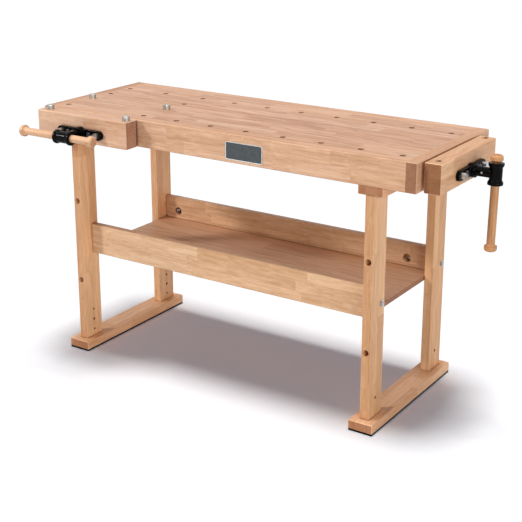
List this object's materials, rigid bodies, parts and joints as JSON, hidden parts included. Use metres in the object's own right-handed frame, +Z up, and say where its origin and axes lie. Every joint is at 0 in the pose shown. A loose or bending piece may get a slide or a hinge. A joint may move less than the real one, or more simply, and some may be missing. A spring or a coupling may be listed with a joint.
{
  "type": "woodworking bench",
  "caption": "Laminated wooden workbench on two leg frames with stretchers and a low shelf; front and end screw vises with sliding wooden handles, and round steel bench dogs in dog holes.",
  "frame": {"origin": "on the floor, midway between the two leg frames and midway between the feet's front and back ends", "axes": "+X to the right along the bench, seen from the side of the front vise; +Y from front to back; +Z up"},
  "size_m": [1.5678, 0.6888, 0.875],
  "materials": {
    "beech_top": "oiled, laminated",
    "beech_end_cap": "oiled",
    "beech_jaw": "oiled",
    "beech_frame": "oiled",
    "beech_stretcher": "oiled",
    "shelf_wood": "oiled, laminated",
    "turned_beech": "turned, satin",
    "black_casting": "black enamel, satin",
    "blackened_steel": "blackened",
    "bright_steel": "bright turned",
    "dog_steel": "zinc plated, satin",
    "plate_enamel": "enamel with bare rim",
    "sole_rubber": "matt",
    "zinc_steel": "zinc plated"
  },
  "bodies": {
    "bench": {"back_apron": "beech_top", "back_stretcher": "beech_stretcher", "end_nut": "black_casting", "end_nut_screws": "zinc_steel", "foot_screws": "zinc_steel", "front_apron": "beech_top", "front_nut": "black_casting", "front_nut_screws": "zinc_steel", "front_stretcher": "beech_stretcher", "left_back_post": "beech_frame", "left_end_cap": "beech_end_cap", "left_foot": "beech_frame", "left_front_post": "beech_frame", "left_sole": "sole_rubber", "left_top_rail": "beech_frame", "name_plate": "plate_enamel", "rail_screws": "zinc_steel", "right_back_post": "beech_frame", "right_end_cap": "beech_end_cap", "right_foot": "beech_frame", "right_front_post": "beech_frame", "right_sole": "sole_rubber", "right_top_rail": "beech_frame", "shelf_board": "shelf_wood", "stretcher_bolts": "zinc_steel", "stretcher_nuts": "zinc_steel", "stretcher_washers": "zinc_steel", "top_lag_screws": "zinc_steel", "top_slab": "beech_top"},
    "front_jaw": {"front_jaw": "beech_jaw", "front_flange": "black_casting", "front_flange_bolts": "blackened_steel", "front_guide_rods": "bright_steel"},
    "front_screw": {"front_screw": "bright_steel", "front_collar": "bright_steel", "front_hub": "black_casting", "front_hub_pin": "bright_steel"},
    "front_handle": {"front_handle_bar": "turned_beech", "front_left_knob": "turned_beech", "front_right_knob": "turned_beech"},
    "end_jaw": {"end_jaw": "beech_jaw", "end_flange": "black_casting", "end_flange_bolts": "blackened_steel", "end_guide_rods": "bright_steel"},
    "end_screw": {"end_screw": "bright_steel", "end_collar": "bright_steel", "end_hub": "black_casting", "end_hub_pin": "bright_steel"},
    "end_handle": {"end_handle_bar": "turned_beech", "end_lower_knob": "turned_beech", "end_upper_knob": "turned_beech"},
    "dog_1": {"dog_1": "dog_steel"},
    "dog_2": {"dog_2": "dog_steel"},
    "dog_3": {"dog_3": "dog_steel"},
    "dog_4": {"dog_4": "dog_steel"}
  },
  "joints": [
    {"name": "front_jaw_slide", "type": "slide", "parent": "bench", "child": "front_jaw", "axis": [0, -1, 0], "range_m": [-0.005, 0.19]},
    {"name": "front_screw_turn", "type": "hinge", "parent": "front_jaw", "child": "front_screw", "pos_m": [-0.477, -0.3093, 0.804], "axis": [0, -1, 0], "range_deg": [-360, 13680]},
    {"name": "front_handle_slide", "type": "slide", "parent": "front_screw", "child": "front_handle", "axis": [1, 0, 0], "range_m": [-0.069, 0.13]},
    {"name": "end_jaw_slide", "type": "slide", "parent": "bench", "child": "end_jaw", "axis": [1, 0, 0], "range_m": [-0.01, 0.19]},
    {"name": "end_screw_turn", "type": "hinge", "parent": "end_jaw", "child": "end_screw", "pos_m": [0.7718, -0.037, 0.804], "axis": [1, 0, 0], "range_deg": [-720, 13680]},
    {"name": "end_handle_slide", "type": "slide", "parent": "end_screw", "child": "end_handle", "axis": [0, 0.0349, 0.9994], "range_m": [0, 0.175]},
    {"name": "dog_1_lift", "type": "slide", "parent": "front_jaw", "child": "dog_1", "axis": [0, 0, 1], "range_m": [0, 0.08]},
    {"name": "dog_2_lift", "type": "slide", "parent": "bench", "child": "dog_2", "axis": [0, 0, 1], "range_m": [0, 0.08]},
    {"name": "dog_3_lift", "type": "slide", "parent": "front_jaw", "child": "dog_3", "axis": [0, 0, 1], "range_m": [0, 0.08]},
    {"name": "dog_4_lift", "type": "slide", "parent": "bench", "child": "dog_4", "axis": [0, 0, 1], "range_m": [0, 0.08]}
  ],
  "couplings": [
    {"joint": "front_jaw_slide", "follows": "front_screw_turn", "m_per_rad": 0.00079577},
    {"joint": "end_jaw_slide", "follows": "end_screw_turn", "m_per_rad": 0.00079577}
  ]
}
